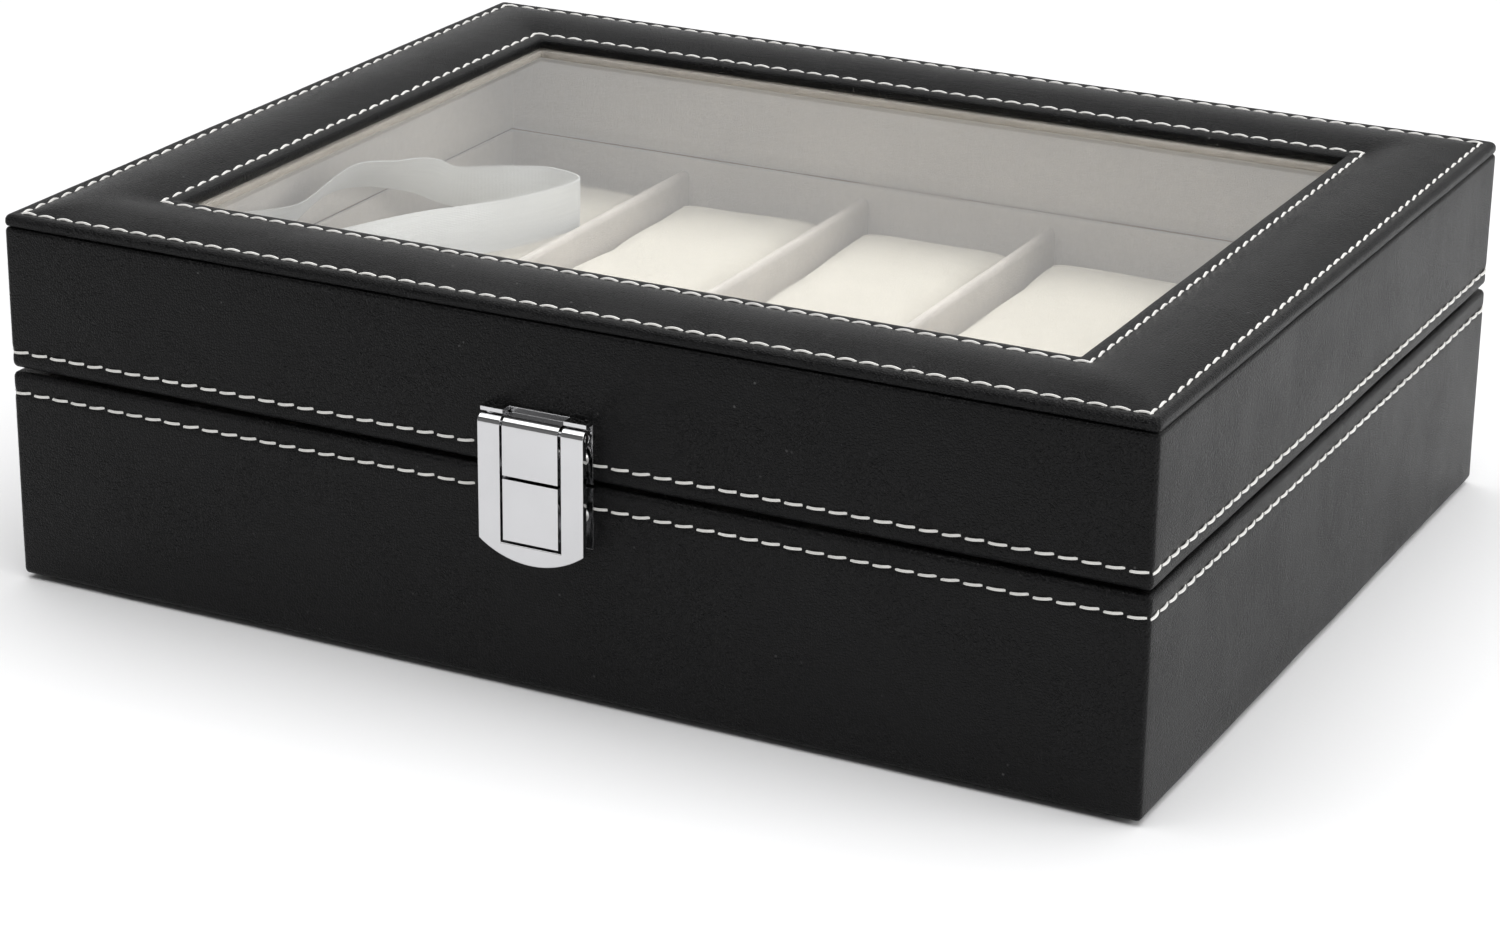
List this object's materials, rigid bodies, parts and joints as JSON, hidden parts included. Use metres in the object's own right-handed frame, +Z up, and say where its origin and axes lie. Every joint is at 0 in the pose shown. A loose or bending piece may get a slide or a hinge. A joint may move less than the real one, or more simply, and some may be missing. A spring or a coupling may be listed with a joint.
{
  "type": "watch box",
  "caption": "Watch storage box with a hinged window lid, a swing latch, a ribbon lid stay and two rows of slots that hold lift-out pillows.",
  "frame": {"origin": "centre of the box's footprint, on the surface it stands on", "axes": "+X to the right along the latch side, which is the longest way; +Y from the latch towards the hinges; +Z up"},
  "size_m": [0.255, 0.2126, 0.0825],
  "materials": {
    "black_leather": "satin",
    "velvet_lining": "matte",
    "pillow_velvet": "matte",
    "satin_ribbon": "satin",
    "fibreboard": "matte",
    "foam": "matte",
    "black_felt": "matte",
    "window_glass": "gloss",
    "polished_chrome": "polished",
    "nickel_steel": "satin"
  },
  "bodies": {
    "base": {"base_front_board": "fibreboard", "base_back_board": "fibreboard", "base_left_board": "fibreboard", "base_right_board": "fibreboard", "base_floor_board": "fibreboard", "base_leather": "black_leather", "base_felt": "black_felt", "base_lining_front": "velvet_lining", "base_lining_back": "velvet_lining", "base_lining_left": "velvet_lining", "base_lining_right": "velvet_lining", "base_lining_floor": "velvet_lining", "divider_long": "velvet_lining", "divider_cross_1": "velvet_lining", "divider_cross_2": "velvet_lining", "divider_cross_3": "velvet_lining", "divider_cross_4": "velvet_lining", "latch_base_plate": "polished_chrome", "latch_base_screws": "nickel_steel", "hinge_left_base_leaf": "nickel_steel", "hinge_right_base_leaf": "nickel_steel", "hinge_left_pin": "nickel_steel", "hinge_right_pin": "nickel_steel", "hinge_base_screws": "nickel_steel", "stay_ribbon": "satin_ribbon"},
    "lid": {"lid_front_board": "fibreboard", "lid_back_board": "fibreboard", "lid_left_board": "fibreboard", "lid_right_board": "fibreboard", "lid_leather": "black_leather", "lid_lining_front": "velvet_lining", "lid_lining_back": "velvet_lining", "lid_lining_left": "velvet_lining", "lid_lining_right": "velvet_lining", "top_frame_board": "fibreboard", "top_frame_padding": "foam", "top_frame_leather": "black_leather", "window_glass": "window_glass", "glass_spacer": "fibreboard", "glass_retainer": "velvet_lining", "latch_lid_plate": "polished_chrome", "latch_pin": "polished_chrome", "latch_lid_screws": "nickel_steel", "hinge_left_lid_leaf": "nickel_steel", "hinge_right_lid_leaf": "nickel_steel", "hinge_lid_screws": "nickel_steel"},
    "latch_flap": {"latch_flap": "polished_chrome"},
    "pillow_rear_1": {"pillow_rear_1": "pillow_velvet"},
    "pillow_rear_2": {"pillow_rear_2": "pillow_velvet"},
    "pillow_rear_3": {"pillow_rear_3": "pillow_velvet"},
    "pillow_rear_4": {"pillow_rear_4": "pillow_velvet"},
    "pillow_rear_5": {"pillow_rear_5": "pillow_velvet"},
    "pillow_front_1": {"pillow_front_1": "pillow_velvet"},
    "pillow_front_2": {"pillow_front_2": "pillow_velvet"},
    "pillow_front_3": {"pillow_front_3": "pillow_velvet"},
    "pillow_front_4": {"pillow_front_4": "pillow_velvet"},
    "pillow_front_5": {"pillow_front_5": "pillow_velvet"}
  },
  "joints": [
    {"name": "lid_hinge", "type": "hinge", "parent": "base", "child": "lid", "pos_m": [0, 0.104, 0.0469], "axis": [-1, 0, 0], "range_deg": [0, 90], "deforming": ["stay_ribbon"]},
    {"name": "latch_hinge", "type": "hinge", "parent": "lid", "child": "latch_flap", "pos_m": [0, -0.1045, 0.0573], "axis": [-1, 0, 0], "range_deg": [0, 100]},
    {"name": "pillow_rear_1_lift", "type": "slide", "parent": "base", "child": "pillow_rear_1", "axis": [0, 0, 1], "range_m": [0, 0.028]},
    {"name": "pillow_rear_2_lift", "type": "slide", "parent": "base", "child": "pillow_rear_2", "axis": [0, 0, 1], "range_m": [0, 0.028]},
    {"name": "pillow_rear_3_lift", "type": "slide", "parent": "base", "child": "pillow_rear_3", "axis": [0, 0, 1], "range_m": [0, 0.028]},
    {"name": "pillow_rear_4_lift", "type": "slide", "parent": "base", "child": "pillow_rear_4", "axis": [0, 0, 1], "range_m": [0, 0.028]},
    {"name": "pillow_rear_5_lift", "type": "slide", "parent": "base", "child": "pillow_rear_5", "axis": [0, 0, 1], "range_m": [0, 0.028]},
    {"name": "pillow_front_1_lift", "type": "slide", "parent": "base", "child": "pillow_front_1", "axis": [0, 0, 1], "range_m": [0, 0.028]},
    {"name": "pillow_front_2_lift", "type": "slide", "parent": "base", "child": "pillow_front_2", "axis": [0, 0, 1], "range_m": [0, 0.028]},
    {"name": "pillow_front_3_lift", "type": "slide", "parent": "base", "child": "pillow_front_3", "axis": [0, 0, 1], "range_m": [0, 0.028]},
    {"name": "pillow_front_4_lift", "type": "slide", "parent": "base", "child": "pillow_front_4", "axis": [0, 0, 1], "range_m": [0, 0.028]},
    {"name": "pillow_front_5_lift", "type": "slide", "parent": "base", "child": "pillow_front_5", "axis": [0, 0, 1], "range_m": [0, 0.028]}
  ]
}
